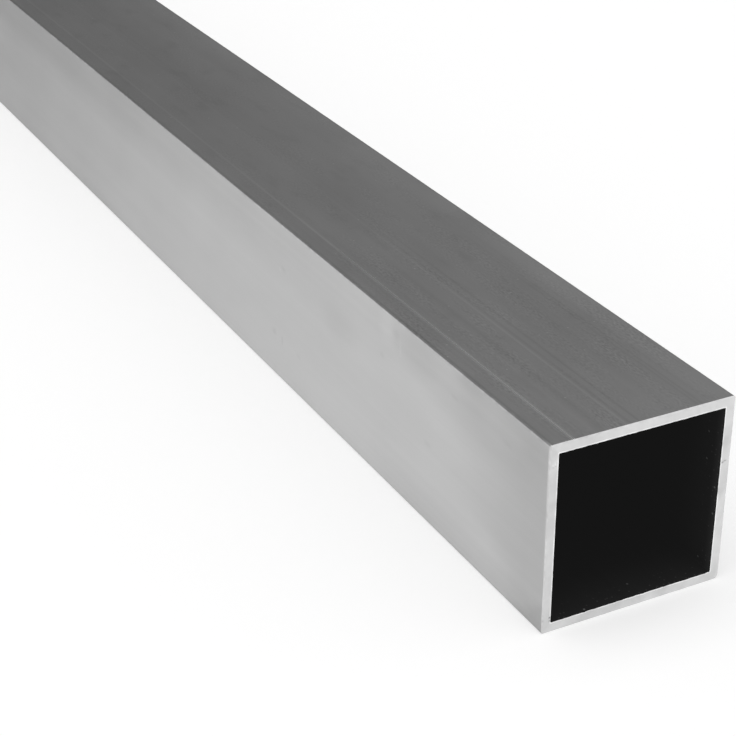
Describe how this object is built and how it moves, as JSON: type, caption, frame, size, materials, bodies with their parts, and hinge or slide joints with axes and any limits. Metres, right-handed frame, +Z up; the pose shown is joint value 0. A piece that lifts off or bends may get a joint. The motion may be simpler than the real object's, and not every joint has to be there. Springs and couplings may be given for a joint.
{
  "type": "square metal tube",
  "caption": "Straight square hollow tube in mill-finish aluminium with near-sharp corners, open at both sawn ends, used as stock for frames, brackets and supports.",
  "frame": {"origin": "centre of the flat underside that the tube rests on", "axes": "+X along the tube's length, +Y across its width, +Z up"},
  "size_m": [1, 0.03, 0.03],
  "materials": {
    "mill_aluminium": "mill finish as extruded: satin, with faint die lines along the length; sawn ends brighter and matt"
  },
  "bodies": {
    "root": {"square_tube": "mill_aluminium"}
  },
  "joints": []
}
